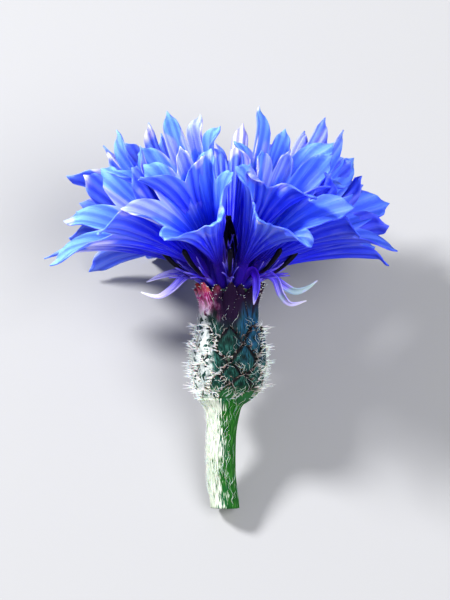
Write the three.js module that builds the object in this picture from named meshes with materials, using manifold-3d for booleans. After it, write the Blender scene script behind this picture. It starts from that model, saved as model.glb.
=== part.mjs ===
// A cut cornflower: one flower head on a short stem, lying on its back on a surface.
// Millimetres, +Z up. The surface is z = 0, the cut end of the stem points to -Y and the head to +Y.
//
// Every piece is first placed on an upright flower, whose stem runs along +Z and whose front faces -Y.
// layDown() tips that flower onto its back, so that it rests on the rim of its rear florets and on the
// lower edge of its cut stem. settle() presses the lobes that meet the surface flat against it.

import * as THREE from "three";
import { mergeVertices } from "three/addons/utils/BufferGeometryUtils.js";
import Module from "manifold-3d";

const wasm = await Module();
wasm.setup();
const { degToRad, lerp, clamp, inverseLerp } = THREE.MathUtils;

// ---------------------------------------------------------------- driving dimensions

const AXIS_RISE = 25; // degrees that the flower's axis rises from the surface, towards the head
const PETAL_THICKNESS = 0.6;
const FLOOR_GAP = 0.31; // from the surface to the middle of a lobe that lies on it
const FLOOR_SOFTNESS = 0.3; // how gently a lobe bends where it meets the surface
const FINEST_EDGE = 0.02; // shorter edges are collapsed when pieces are joined

const STEM_LENGTH = 12.8;
const STEM_RADIUS = 1.72;
const STEM_NECK_RADIUS = 2.2; // where it widens into the head
const STEM_NECK_SHARE = 0.68; // of its length, below the widening
const STEM_RIBS = 8;
const STEM_RIB_HEIGHT = 0.13;
const STEM_BEND = [-0.5, -0.95, -0.95, -0.75]; // sideways from the head's axis, from cut end to neck

const URN_PROFILE = [
  // radius, height: the body under the bracts, from the stem to the mouth
  [2.1, 13.1],
  [3.1, 14.2],
  [4.1, 16.0],
  [4.4, 18.4],
  [4.25, 20.9],
  [3.4, 23.8],
  [3.35, 26.2],
  [3.95, 28.0],
];
const URN_SIDES = 16;
const URN_FLARE = 0.5; // the slope on which the top bracts go on above the rim
const URN_LEAN = { below: 16, slope: 0.24 }; // the base of the head leans over towards the stem
const MOUTH_RADIUS = 3.3; // of the shallow dish that the florets stand in
const MOUTH_FLOOR = 26.9;

const BRACT_ROWS = [
  // height of the root, length, width, lift of the tip's ridge off the urn
  { root: 13.3, length: 2.8, width: 2.1, lift: 0.8 },
  { root: 15.0, length: 3.4, width: 2.7, lift: 0.8 },
  { root: 17.1, length: 3.7, width: 2.9, lift: 0.75 },
  { root: 19.4, length: 3.9, width: 2.7, lift: 0.75 },
  { root: 21.8, length: 4.2, width: 2.3, lift: 0.75 },
  { root: 24.5, length: 4.7, width: 2.2, lift: 0.8 },
];
const BRACTS_PER_ROW = 8;
const BRACT_OUTLINE = [
  // share of the length, half width as a share of the width, and how far a tooth points up from there
  { at: 0, half: 0.42, tooth: 0 },
  { at: 0.48, half: 0.58, tooth: 0.16 },
  { at: 0.64, half: 0.3, tooth: 0.02 },
  { at: 1, half: 0.02, tooth: 0 },
];
const BRACT_THICKNESS = 0.7;
const BRACT_EDGE_DEPTH = 0.28; // of its edges below the ridge along its middle
const BRACT_ROOT_LIFT = -0.05; // of the ridge off the urn

const HEAD_CENTRE = 27.9; // height on the axis that the florets fan out from
const TUBE_LENGTH = 5.6;
const TUBE_RADIUS = 0.65;
const TUBE_SIDES = 6;
const LOBES = 7;
const SINUS = 0.68; // share of the limb that is joined, below the notches between the lobes
const LOBE_LENGTH = { least: 0.88, spread: 0.2 }; // of the lobes' tips, as shares of the limb
const LOBE_SHOULDER = { across: 1.7, along: 0.85 }; // powers that round the lobe's outline
const LIMB_START_ANGLE = 12; // degrees between the limb and its own axis, at the throat
const LIMB_END_ANGLE = 47; // and at the tips of the lobes
const LIP_ANGLE = 28; // more on the side that faces away from the flower's axis, less on the other
const LIMB_NARROW = 0.86; // width across, as a share of the height
const LOBE_FOLD = 0.42; // the ridge along each lobe, and the groove between two lobes
const FOLD_START = 7; // the folds fade out from here down to the throat
const LOBE_CURL = { most: 1.1, bias: 0.35 }; // of the tips, outwards more often than inwards
const LOBE_TWIST = 0.6;

// azimuth, angle from the flower's axis, limb length, share of the full opening, turn about its own axis.
// Azimuth 270 is the front. The first nine are the outer ring.
const RAY_FLORETS = [
  [8, 57, 17.4, 0.62, 12],
  [50, 46, 17.8, 0.8, 0],
  [90, 36, 17.8, 0.66, 25],
  [130, 52, 18.2, 0.9, 0],
  [172, 53, 18.2, 0.66, 20],
  [209, 51, 18, 0.68, 20],
  [251, 50, 18.4, 0.66, 22],
  [296, 50, 18.4, 0.66, -22],
  [336, 50, 18.2, 0.7, -12],
  [14, 37, 19.2, 0.62, 0],
  [88, 34, 16.8, 0.62, 15],
  [160, 38, 18.8, 0.62, 30],
  [232, 31, 18.4, 0.62, -10],
  [304, 34, 17.6, 0.62, 14],
].map(([azimuth, polar, limb, opening, roll]) => ({ azimuth, polar, limb, opening, roll }));

const FLORET_ROOT_HEIGHT = 27.5;
const FLORET_ROOT_RADIUS = 1.95;
const FLORET_KNEE = { radius: 2.25, height: 29.4 }; // a tube rises to here before it leans out
const FLORET_RING = { inner: 1.3, outer: 2.9, bottom: 27.2, top: 28.3 };
const TUBE_OVERLAP = 1.2; // of the tube into the limb
const LIMB_FOOT = -0.4; // the limb starts this far below its throat
const THROAT_DEPTH = 2.4; // and its hollow this far above it

const MARGIN_DISC_FLORETS = 9; // small florets between the tubes of the outer ray florets
const MARGIN_DISC_POLAR = 62;
const MARGIN_DISC_FOOT = 5; // of the anther column, from the head's centre
const MARGIN_DISC_KNEE = 1.6; // their tubes rise this far before they lean out
const CENTRE_DISC_FLORETS = 6;
const CENTRE_DISC = [
  // radius, height: the root, knee and anther column's foot of a floret in the middle tuft
  [0.45, 27.5],
  [0.75, 30],
  [0.88, 32.3],
];
const CENTRE_DISC_STAGGER = 1.2; // every second one is this much shorter
const CENTRE_PLUG = { radius: 1.05, height: 1.3 };
const DISC_TUBE_RADIUS = 0.42;
const DISC_TUBE_SIDES = 5;
const DISC_LOBES = 5;
const STAR = {
  // the corolla of a disc floret: radius, and height over the foot of its anther column
  foot: { radius: 0.3, height: -1.0 },
  heart: { radius: 0, height: 0.5 },
  notch: { radius: 0.62, height: 0.4 },
  tip: { radius: 1.3, height: 3.2 },
};
const ANTHER_LENGTH = 5;
const ANTHER_BOW = 1.3;

// Thread-like lobes that hang out under the head, each a row of points: across, front to back, height
const STRAY_LOBES = [
  [[-2.2, 0, 28.2], [-4, -0.6, 30.1], [-5.6, -0.9, 29.6], [-7.4, -1.1, 27.9], [-9.1, -1.3, 27],
    [-11.2, -1.2, 27.6]],
  [[-2.2, 0.4, 28.2], [-4.2, 0.6, 30.5], [-6.4, 0.8, 30.2], [-8.6, 1, 29.7], [-10.6, 1.2, 28.9]],
  [[2.2, 0, 28.2], [4.2, -0.6, 30], [5.9, -0.9, 29.3], [6.7, -1.2, 27.3], [7.9, -1.4, 26.1],
    [9.9, -1.3, 26.5]],
  [[2.2, 0.4, 28.2], [4.4, 0.6, 30.3], [6.3, 0.9, 29], [8.3, 1.2, 27.8], [9.9, 1.4, 28.1], [11.4, 1.5, 29.1]],
  [[1.3, -1.8, 28.2], [2.7, -3.6, 30.5], [3.4, -5.1, 29.7], [3.5, -5.3, 28], [3.3, -5.1, 26.7],
    [3.1, -5, 25.6]],
];
const STRAY_RADIUS = 0.36;
const STRAY_SIDES = 5;
const STRAY_STEPS = 7;

// ---------------------------------------------------------------- laying the flower down

const REST = new THREE.Matrix4()
  .makeRotationX(degToRad(AXIS_RISE - 90))
  .setPosition(0, 0, (STEM_RADIUS + STEM_RIB_HEIGHT) * Math.cos(degToRad(AXIS_RISE)));

const ORIGIN = new THREE.Vector2(0, 0);
const layDown = (point) => point.applyMatrix4(REST);

function settle(point) {
  const depth = (point.z - FLOOR_GAP) / FLOOR_SOFTNESS;
  if (depth < 20) point.z = FLOOR_GAP + FLOOR_SOFTNESS * Math.log1p(Math.exp(depth));
  return point;
}

// ---------------------------------------------------------------- solids

// A closed geometry as a manifold-3d solid, its seams welded and its collapsed faces dropped.
function solidOf(geometry) {
  const bare = new THREE.BufferGeometry();
  bare.setAttribute("position", geometry.getAttribute("position"));
  bare.setIndex(geometry.index);
  const welded = mergeVertices(bare, 1e-4);
  const corners = welded.index.array;
  const kept = [];
  for (let i = 0; i < corners.length; i += 3) {
    const [a, b, c] = corners.slice(i, i + 3);
    if (a !== b && b !== c && c !== a) kept.push(a, b, c);
  }
  return new wasm.Manifold(
    new wasm.Mesh({
      numProp: 3,
      vertProperties: welded.attributes.position.array,
      triVerts: new Uint32Array(kept),
    }),
  );
}

// The union of several solids, without loose scraps and with any sealed hollow filled.
function fuse(solids) {
  const bodies = wasm.Manifold.union(solids).simplify(FINEST_EDGE).decompose();
  return bodies.reduce((best, body) => (body.volume() > best.volume() ? body : best));
}

function meshOf(name, solid, material) {
  const { vertProperties, triVerts } = solid.getMesh();
  const geometry = new THREE.BufferGeometry();
  geometry.setAttribute("position", new THREE.BufferAttribute(vertProperties, 3));
  geometry.setIndex(new THREE.BufferAttribute(triVerts, 1));
  geometry.computeVertexNormals();
  const mesh = new THREE.Mesh(geometry, material);
  mesh.name = name;
  return mesh;
}

// Moves every vertex of a geometry to move(vertex, index), in place.
function reshape(geometry, move) {
  const position = geometry.getAttribute("position");
  const vertex = new THREE.Vector3();
  for (let i = 0; i < position.count; i++) {
    const { x, y, z } = move(vertex.fromBufferAttribute(position, i), i);
    position.setXYZ(i, x, y, z);
  }
  return geometry;
}

// A round rod along a curve. Its points are already in place on the upright flower.
function rodAlong(points, radius, sides, steps) {
  const corner = (_, i) => new THREE.Vector2(radius, 0).rotateAround(ORIGIN, (i / sides) * 2 * Math.PI);
  const section = new THREE.Shape(Array.from({ length: sides }, corner));
  const options = { extrudePath: new THREE.CatmullRomCurve3(points), steps, bevelEnabled: false };
  return reshape(new THREE.ExtrudeGeometry(section, options), (v) => settle(layDown(v)));
}

// A repeatable draw from 0 to 1 for each floret, lobe and purpose.
function draw(floret, lobe, purpose) {
  const x = Math.sin(floret * 12.9898 + lobe * 78.233 + purpose * 37.719) * 43758.5453;
  return x - Math.floor(x);
}

// ---------------------------------------------------------------- ray florets

// The directions that a floret is built on: out from the flower's axis, aim along its limb,
// lip towards its lower lobes and side across it.
function floretAxes({ azimuth, polar }) {
  const turn = degToRad(azimuth);
  const tip = degToRad(polar);
  const up = new THREE.Vector3(0, 0, 1);
  const out = new THREE.Vector3(Math.cos(turn), Math.sin(turn), 0);
  const aim = out.clone().multiplyScalar(Math.sin(tip)).addScaledVector(up, Math.cos(tip));
  const lip = out.clone().multiplyScalar(Math.cos(tip)).addScaledVector(up, -Math.sin(tip));
  return { out, aim, lip, side: aim.clone().cross(lip) };
}

function throatOf({ aim }) {
  return new THREE.Vector3(0, 0, HEAD_CENTRE).addScaledVector(aim, TUBE_LENGTH);
}

// The middle of the limb's wall, at an angle round the floret and a share of the way to its edge.
function limbPoint(floret, number, angle, share) {
  const { aim, lip, side } = floretAxes(floret);
  const turns = (((angle / (2 * Math.PI)) * LOBES) % LOBES) + LOBES;
  const lobe = Math.floor(turns) % LOBES;
  const across = 2 * (turns - Math.floor(turns)) - 1;

  const sinus = SINUS * floret.limb;
  const tip = floret.limb * (LOBE_LENGTH.least + LOBE_LENGTH.spread * draw(number, lobe, 1));
  const outline = (1 - Math.abs(across) ** LOBE_SHOULDER.across) ** LOBE_SHOULDER.along;
  const edge = sinus + (tip - sinus) * outline;
  const along = share * edge;
  const free = clamp((along - sinus) / (tip - sinus), 0, 1);

  const round = angle + degToRad(floret.roll);
  const start = degToRad(LIMB_START_ANGLE);
  const end = degToRad(floret.opening * (LIMB_END_ANGLE + LIP_ANGLE * Math.cos(round)));
  const bend = (end - start) / floret.limb;
  const fold = LOBE_FOLD * Math.cos(Math.PI * across) * Math.min(1, along / FOLD_START);
  const curl = LOBE_CURL.most * (draw(number, lobe, 2) - LOBE_CURL.bias) * free ** 2;
  const twist = LOBE_TWIST * (2 * draw(number, lobe, 3) - 1) * across * Math.sqrt(free);
  const radius = TUBE_RADIUS + (Math.cos(start) - Math.cos(start + bend * along)) / bend + fold + curl;
  const height = (Math.sin(start + bend * along) - Math.sin(start)) / bend - Math.abs(curl) / 2 + twist;

  const point = throatOf({ aim })
    .addScaledVector(aim, height)
    .addScaledVector(lip, radius * Math.cos(round))
    .addScaledVector(side, radius * Math.sin(round) * LIMB_NARROW);
  return settle(layDown(point));
}

const LIMB_ROWS = [
  // share of the way from the throat to the edge, and the columns of vertices that each lobe has there
  { share: 0, perLobe: 1 },
  { share: 0.36, perLobe: 2 },
  { share: 0.7, perLobe: 2 },
  { share: 1, perLobe: 4 },
];
const LIMB_COLUMNS = 4 * LOBES;
const STEP = 0.01; // for slopes of the wall, in radians and in shares of its length

// A trumpet with a wall of even thickness, as a lathe whose profile runs up the outer wall from
// a point below the throat, over the edge and down the inner wall to the bottom of the hollow.
function limbGeometry(floret, number) {
  const outer = LIMB_ROWS.map((row) => ({ ...row, wall: 1 }));
  const inner = LIMB_ROWS.slice(1).reverse().map((row) => ({ ...row, wall: -1 }));
  const rows = [{ pole: LIMB_FOOT }, ...outer, ...inner, { pole: THROAT_DEPTH }];
  const profile = rows.map((row, i) => new THREE.Vector2("pole" in row ? 0 : 1, i));
  const lathe = new THREE.LatheGeometry(profile, LIMB_COLUMNS);
  const { aim } = floretAxes(floret);

  reshape(lathe, (v, i) => {
    const row = rows[i % rows.length];
    if ("pole" in row) return settle(layDown(throatOf({ aim }).addScaledVector(aim, row.pole)));
    const places = row.perLobe * LOBES;
    const place = Math.floor((Math.floor(i / rows.length) * places) / LIMB_COLUMNS) % places;
    const angle = (place / places) * 2 * Math.PI;
    const middle = limbPoint(floret, number, angle, row.share);
    const round = limbPoint(floret, number, angle + STEP, row.share);
    round.sub(limbPoint(floret, number, angle - STEP, row.share));
    const along = limbPoint(floret, number, angle, row.share + STEP);
    along.sub(limbPoint(floret, number, angle, row.share - STEP));
    const outward = along.cross(round).negate().normalize();
    return middle.addScaledVector(outward, (row.wall * PETAL_THICKNESS) / 2);
  });

  // Each four-sided face is split the same way on both walls, so that the walls never cross.
  const faces = [];
  for (let column = 0; column < LIMB_COLUMNS; column++) {
    for (let row = 0; row < rows.length - 1; row++) {
      const a = column * rows.length + row;
      const b = a + rows.length;
      const [c, d] = [b + 1, a + 1];
      if (row < LIMB_ROWS.length) faces.push(a, b, d, c, d, b);
      else faces.push(a, b, c, a, c, d);
    }
  }
  lathe.setIndex(faces);
  return lathe;
}

// From the mouth of the involucre the tube first rises, and then leans out to the floret's own axis.
function tubeGeometry(floret) {
  const { out, aim } = floretAxes(floret);
  const root = new THREE.Vector3(0, 0, FLORET_ROOT_HEIGHT).addScaledVector(out, FLORET_ROOT_RADIUS);
  const knee = new THREE.Vector3(0, 0, FLORET_KNEE.height).addScaledVector(out, FLORET_KNEE.radius);
  const end = throatOf({ aim }).addScaledVector(aim, TUBE_OVERLAP);
  const path = new THREE.QuadraticBezierCurve3(root, knee, end);
  return rodAlong(path.getPoints(4), TUBE_RADIUS, TUBE_SIDES, 4);
}

// ---------------------------------------------------------------- disc florets

// A slender tube that ends in a dark anther column, bowed outwards, with narrow spreading lobes round
// the column's foot.
function discFloret(root, knee, foot, out) {
  const tube = new THREE.QuadraticBezierCurve3(root, knee, foot);
  const aim = tube.getTangent(1);
  const side = aim.clone().cross(out).normalize();
  const rise = side.clone().cross(aim).normalize();
  const column = (share) =>
    foot.clone().addScaledVector(aim, share * ANTHER_LENGTH).addScaledVector(rise, -ANTHER_BOW * share ** 2);
  const path = [...tube.getPoints(2), column(0.5), column(1)];
  const solids = [solidOf(rodAlong(path, DISC_TUBE_RADIUS, DISC_TUBE_SIDES, 5))];
  const star = new THREE.CylinderGeometry(1, 1, 1, 2 * DISC_LOBES, 1);
  const upright = new THREE.Matrix4().makeBasis(side, aim, rise).setPosition(foot);
  reshape(star, (v) => {
    const centre = Math.hypot(v.x, v.z) < 0.5;
    const tip = Math.round((Math.atan2(v.z, v.x) * DISC_LOBES) / Math.PI) % 2 === 0;
    const { radius, height } = v.y < 0 ? STAR.foot : centre ? STAR.heart : tip ? STAR.tip : STAR.notch;
    v.set(v.x * radius, height, v.z * radius);
    return settle(layDown(v.applyMatrix4(upright)));
  });
  return [...solids, solidOf(star)];
}

function marginDiscFlorets() {
  const made = [];
  for (let i = 0; i < MARGIN_DISC_FLORETS; i++) {
    const azimuth = RAY_FLORETS[i].azimuth + 180 / MARGIN_DISC_FLORETS;
    const { out, aim } = floretAxes({ azimuth, polar: MARGIN_DISC_POLAR });
    const root = new THREE.Vector3(0, 0, FLORET_ROOT_HEIGHT).addScaledVector(out, FLORET_ROOT_RADIUS);
    const foot = new THREE.Vector3(0, 0, HEAD_CENTRE).addScaledVector(aim, MARGIN_DISC_FOOT);
    const knee = root.clone().add(new THREE.Vector3(0, 0, MARGIN_DISC_KNEE));
    made.push(...discFloret(root, knee, foot, out));
  }
  return made;
}

function centreDiscFlorets() {
  const made = [];
  for (let i = 0; i < CENTRE_DISC_FLORETS; i++) {
    const turn = (i / CENTRE_DISC_FLORETS) * 2 * Math.PI;
    const out = new THREE.Vector3(Math.cos(turn), Math.sin(turn), 0);
    const [root, knee, foot] = CENTRE_DISC.map(([radius, height]) =>
      new THREE.Vector3(0, 0, height).addScaledVector(out, radius),
    );
    foot.z -= (i % 2) * CENTRE_DISC_STAGGER;
    made.push(...discFloret(root, knee, foot, out));
  }
  const { radius, height } = CENTRE_PLUG;
  const plug = new THREE.CylinderGeometry(radius, radius, height, 12);
  plug.rotateX(Math.PI / 2).translate(0, 0, FLORET_RING.bottom + height / 2);
  made.push(solidOf(plug.applyMatrix4(REST)));
  return made;
}

// ---------------------------------------------------------------- the bloom

function rayFlorets() {
  const { inner, outer, bottom, top } = FLORET_RING;
  const section = [[inner, bottom], [outer, bottom], [outer, top], [inner, top], [inner, bottom]];
  const ring = new THREE.LatheGeometry(section.map(([r, z]) => new THREE.Vector2(r, z)), 16);
  const solids = [solidOf(ring.rotateX(Math.PI / 2).applyMatrix4(REST))];
  RAY_FLORETS.forEach((floret, number) => {
    solids.push(solidOf(tubeGeometry(floret)), solidOf(limbGeometry(floret, number)));
  });
  for (const points of STRAY_LOBES) {
    const path = points.map(([x, y, z]) => new THREE.Vector3(x, y, z));
    solids.push(solidOf(rodAlong(path, STRAY_RADIUS, STRAY_SIDES, STRAY_STEPS)));
  }
  return fuse([...solids, ...marginDiscFlorets()]);
}

// ---------------------------------------------------------------- involucre

function urnRadius(height) {
  const above = URN_PROFILE.findIndex(([, z]) => z >= height);
  if (above === -1) return URN_PROFILE.at(-1)[0] + (height - URN_PROFILE.at(-1)[1]) * URN_FLARE;
  if (above === 0) return URN_PROFILE[0][0];
  const [[r0, z0], [r1, z1]] = URN_PROFILE.slice(above - 1, above + 1);
  return lerp(r0, r1, inverseLerp(z0, z1, height));
}

function leanIn(point) {
  point.x -= URN_LEAN.slope * Math.max(0, URN_LEAN.below - point.z);
  return point;
}

// A toothed scale with a ridge along its middle, thin at its edges: a four-sided rod whose rings are
// drawn out to the bract's outline. The root is sunk in the urn and the tip stands off it.
function bractGeometry(row, azimuth) {
  const rings = BRACT_OUTLINE.length - 1;
  const rod = new THREE.CylinderGeometry(1, 1, rings, 4, rings).translate(0, rings / 2, 0);
  return reshape(rod, (v) => {
    const { at, half, tooth } = BRACT_OUTLINE[Math.round(v.y)];
    const share = at + tooth * Math.abs(v.x);
    const height = row.root + row.length * share;
    const edge = Math.abs(v.x) > 0.5;
    const depth = edge ? BRACT_EDGE_DEPTH : v.z > 0 ? 0 : BRACT_THICKNESS;
    const radius = urnRadius(height) + lerp(BRACT_ROOT_LIFT, row.lift, Math.sqrt(share)) - depth;
    const turn = azimuth + (v.x * half * row.width) / urnRadius(row.root + row.length / 2);
    return layDown(leanIn(v.set(radius * Math.cos(turn), radius * Math.sin(turn), height)));
  });
}

function involucre() {
  const rim = URN_PROFILE.at(-1)[1];
  const dish = [[MOUTH_RADIUS, rim], [MOUTH_RADIUS, MOUTH_FLOOR], [0, MOUTH_FLOOR]];
  const profile = [[0, URN_PROFILE[0][1]], ...URN_PROFILE, ...dish];
  const urn = new THREE.LatheGeometry(profile.map(([r, z]) => new THREE.Vector2(r, z)), URN_SIDES);
  const solids = [solidOf(reshape(urn.rotateX(Math.PI / 2), (v) => layDown(leanIn(v))))];
  BRACT_ROWS.forEach((row, level) => {
    for (let i = 0; i < BRACTS_PER_ROW; i++) {
      const azimuth = ((i + level / 2) / BRACTS_PER_ROW) * 2 * Math.PI;
      solids.push(solidOf(bractGeometry(row, azimuth)));
    }
  });
  return fuse(solids);
}

// ---------------------------------------------------------------- stem

function stem() {
  const columns = 2 * STEM_RIBS;
  const rod = new THREE.CylinderGeometry(1, 1, STEM_LENGTH, columns, 8).rotateX(Math.PI / 2);
  const bend = new THREE.SplineCurve(
    STEM_BEND.map((offset, i) => new THREE.Vector2(offset, i / (STEM_BEND.length - 1))),
  );
  reshape(rod, (v) => {
    const share = clamp(v.z / STEM_LENGTH + 0.5, 0, 1);
    const neck = clamp(inverseLerp(STEM_NECK_SHARE, 1, share), 0, 1);
    const flare = (STEM_NECK_RADIUS - STEM_RADIUS) * neck ** 2;
    const turn = Math.atan2(v.y, v.x);
    const rib = STEM_RIB_HEIGHT * Math.cos(STEM_RIBS * turn);
    const radius = Math.hypot(v.x, v.y) * (STEM_RADIUS + flare + rib);
    const x = bend.getPoint(share).x + radius * Math.cos(turn);
    return layDown(v.set(x, radius * Math.sin(turn), share * STEM_LENGTH));
  });
  return solidOf(rod);
}

// ---------------------------------------------------------------- the flower

const material = (name, color, roughness) =>
  new THREE.MeshStandardMaterial({ name, color, roughness, metalness: 0 });

const flower = new THREE.Group();
flower.name = "cornflower";
flower.add(
  meshOf("stem", stem(), material("stem", 0x7fa35c, 0.7)),
  meshOf("involucre", involucre(), material("bract", 0x3f6b4f, 0.75)),
  meshOf("ray_florets", rayFlorets(), material("ray_floret", 0x2c3cf0, 0.55)),
  meshOf("disc_florets", fuse(centreDiscFlorets()), material("disc_floret", 0x3b1f8f, 0.6)),
);

// The origin is on the surface, under the middle of the flower's box.
const box = new THREE.Box3().setFromObject(flower);
const middle = box.getCenter(new THREE.Vector3());
flower.position.set(-middle.x, -middle.y, -box.min.z);

export default flower;
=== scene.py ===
"""A cut cornflower that lies on its back on a pale surface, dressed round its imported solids."""

import math
import random

import bmesh
import bpy
from mathutils import Matrix, Vector


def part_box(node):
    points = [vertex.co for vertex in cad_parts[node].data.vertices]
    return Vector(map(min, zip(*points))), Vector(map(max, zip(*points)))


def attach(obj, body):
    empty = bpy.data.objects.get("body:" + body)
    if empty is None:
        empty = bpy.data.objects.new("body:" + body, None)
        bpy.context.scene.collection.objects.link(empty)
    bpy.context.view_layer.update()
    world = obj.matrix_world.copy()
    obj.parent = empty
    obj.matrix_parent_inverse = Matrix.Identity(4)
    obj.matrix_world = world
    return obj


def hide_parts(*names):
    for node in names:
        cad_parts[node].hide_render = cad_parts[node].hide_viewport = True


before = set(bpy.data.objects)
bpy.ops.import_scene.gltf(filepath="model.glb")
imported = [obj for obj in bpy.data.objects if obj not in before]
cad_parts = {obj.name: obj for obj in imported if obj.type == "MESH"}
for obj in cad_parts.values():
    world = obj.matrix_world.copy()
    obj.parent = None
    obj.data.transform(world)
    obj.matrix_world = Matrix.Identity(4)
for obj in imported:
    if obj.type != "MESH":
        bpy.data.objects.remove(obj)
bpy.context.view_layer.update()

# ---------------------------------------------------------------- stem
# The stalk that carries the head: a juicy green rod with eight blunt ribs, grown in one with it
# and widening into it, and cut square across with its pale pith bare. White wool fills its
# furrows, and its hairs are thickest on the left. Its left side is also painted white, with teal
# patches, as painted light where the key light falls.

AXIS_RISE = math.radians(25)  # of the flower's axis over the surface, towards the head
STEM_LENGTH = 12.8
STEM_REACH = 14.1  # to its end inside the lowest bracts
STEM_RADIUS = 1.72
STEM_NECK_RADIUS = 2.2
STEM_NECK_SHARE = 0.68  # of its length, below the widening
STEM_FLARE = 0.72  # the slope on which it goes on inside the bracts
STEM_RIBS = 8
STEM_RIB_HEIGHT = 0.13
STEM_CAP = 0.04  # share of the skin that covers each end
STEM_BEND = (-0.5, -0.95, -0.95, -0.75)  # sideways, from the cut end to the neck
STEM_LIMITS = Vector((3.08, 0.782, 0))  # from the stem's lowest corner to the flower's own origin

cut_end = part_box("stem")[0] * 1000 + STEM_LIMITS
cut_end.z = (STEM_RADIUS + STEM_RIB_HEIGHT) * math.cos(AXIS_RISE)
TO_METRES = Matrix.Scale(0.001, 4)
LAID = Matrix.Translation(cut_end) @ Matrix.Rotation(AXIS_RISE - math.pi / 2, 4, "X")
LAY_DOWN = TO_METRES @ LAID


def clamp(value, low=0.0, high=1.0):
    return max(low, min(high, value))


def along_row(values, share):
    """A smooth value at a share of the way along a row of evenly spaced values."""
    place = clamp(share) * (len(values) - 1)
    step = min(int(place), len(values) - 2)
    before, after = values[max(step - 1, 0)], values[min(step + 2, len(values) - 1)]
    a, b, t = values[step], values[step + 1], place - step
    rise_a, rise_b = (b - before) / 2, (after - a) / 2
    return (
        a * (1 + 2 * t) * (1 - t) ** 2
        + b * t * t * (3 - 2 * t)
        + rise_a * t * (1 - t) ** 2
        + rise_b * t * t * (t - 1)
    )


def sheet(mesh, columns, rows, place):
    """Adds a grid to a mesh and moves each of its corners to place(u, v), both from 0 to 1."""
    made = bmesh.ops.create_grid(
        mesh, x_segments=columns, y_segments=rows, size=0.5, calc_uvs=True
    )
    for vertex in made["verts"]:
        vertex.co = place(vertex.co.x + 0.5, vertex.co.y + 0.5)
    return made["verts"]


def finished(mesh, name, node, slot, materials, lay=LAY_DOWN):
    """Closes a mesh's seams, lays it down with the flower and hands it to the frame."""
    bmesh.ops.remove_doubles(mesh, verts=mesh.verts, dist=1e-4)
    bmesh.ops.dissolve_degenerate(mesh, edges=mesh.edges, dist=1e-5)
    bmesh.ops.recalc_face_normals(mesh, faces=mesh.faces)
    bmesh.ops.transform(mesh, matrix=lay, verts=mesh.verts)
    for face in mesh.faces:
        face.smooth = True
    data = bpy.data.meshes.new(name)
    mesh.to_mesh(data)
    mesh.free()
    for material in materials:
        data.materials.append(material)
    piece = bpy.data.objects.new(name, data)
    bpy.context.scene.collection.objects.link(piece)
    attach(piece, "root")
    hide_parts(node)
    return piece


def open_mesh():
    """An empty mesh with a UV map, so that patterns can follow the piece."""
    mesh = bmesh.new()
    mesh.loops.layers.uv.new("UVMap")
    return mesh


class Signal:
    """A shader node's output. Signals add, subtract and multiply as numbers do."""

    def __init__(self, tree, output=None):
        self.tree, self.output = tree, output

    def node(self, kind, settings, inputs, output=0):
        """Adds a node: its settings first, then the values or links of its sockets."""
        made = self.tree.nodes.new(kind)
        for key, value in settings.items():
            if key == "stops":
                ramp = made.color_ramp
                while len(ramp.elements) < len(value):
                    ramp.elements.new(1)
                for element, (position, colour) in zip(ramp.elements, value):
                    element.position, element.color = position, (*colour, 1)
            else:
                setattr(made, key, value)
        for key, value in inputs.items():
            if isinstance(value, Signal):
                self.tree.links.new(value.output, made.inputs[key])
            elif made.inputs[key].type == "RGBA":
                made.inputs[key].default_value = (*value, 1)
            else:
                made.inputs[key].default_value = value
        return Signal(self.tree, made.outputs[output] if made.outputs else None)

    def math(self, operation, *values):
        return self.node("ShaderNodeMath", {"operation": operation}, dict(enumerate(values)))

    def __add__(self, other):
        return self.math("ADD", self, other)

    def __sub__(self, other):
        return self.math("SUBTRACT", self, other)

    def __rsub__(self, other):
        return self.math("SUBTRACT", other, self)

    def __mul__(self, other):
        return self.math("MULTIPLY", self, other)

    __radd__, __rmul__ = __add__, __mul__

    def absolute(self):
        return self.math("ABSOLUTE", self)

    def cosine(self):
        return self.math("COSINE", self)

    def between(self, low, high):
        """0 below low, 1 above high and smooth between them."""
        settings = {"interpolation_type": "SMOOTHSTEP"}
        inputs = {"Value": self, "From Min": low, "From Max": high}
        return self.node("ShaderNodeMapRange", settings, inputs)

    def blend(self, low, high):
        """The first colour where this is 0 and the second where it is 1."""
        inputs = {0: self, 6: low, 7: high}
        return self.node("ShaderNodeMix", {"data_type": "RGBA"}, inputs, 2)

    def ramp(self, *stops):
        return self.node("ShaderNodeValToRGB", {"stops": stops}, {"Fac": self})

    def noise(self, scale, stretch, detail=3):
        """Fractal noise in this vector's space, stretched along the axes with small factors."""
        scaled = self.node("ShaderNodeVectorMath", {"operation": "MULTIPLY"}, {0: self, 1: stretch})
        inputs = {"Vector": scaled, "Scale": scale, "Detail": detail}
        return self.node("ShaderNodeTexNoise", {}, inputs)

    def parts(self):
        """The X, Y and Z of this vector."""
        split = self.node("ShaderNodeSeparateXYZ", {}, {0: self})
        return [Signal(self.tree, output) for output in split.output.node.outputs]


def finish(name):
    """A new material with a start for its patterns: the object's own coordinates and its UV map."""
    material = bpy.data.materials.new(name)
    material.use_nodes = True
    start = Signal(material.node_tree)
    place = start.node("ShaderNodeTexCoord", {}, {}, "Object")
    uv = start.node("ShaderNodeUVMap", {"uv_map": "UVMap"}, {})
    shader = material.node_tree.nodes["Principled BSDF"]

    def wear(bump=None, **sockets):
        for key, value in sockets.items():
            socket = shader.inputs[key.replace("_", " ")]
            if isinstance(value, Signal):
                material.node_tree.links.new(value.output, socket)
            else:
                socket.default_value = (*value, 1) if socket.type == "RGBA" else value
        if bump:
            height, depth = bump
            made = start.node("ShaderNodeBump", {}, {"Height": height, "Distance": depth})
            material.node_tree.links.new(made.output, shader.inputs["Normal"])

    return material, place, uv, wear


STEM_MIDDLE = cut_end.x + STEM_BEND[1]

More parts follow.
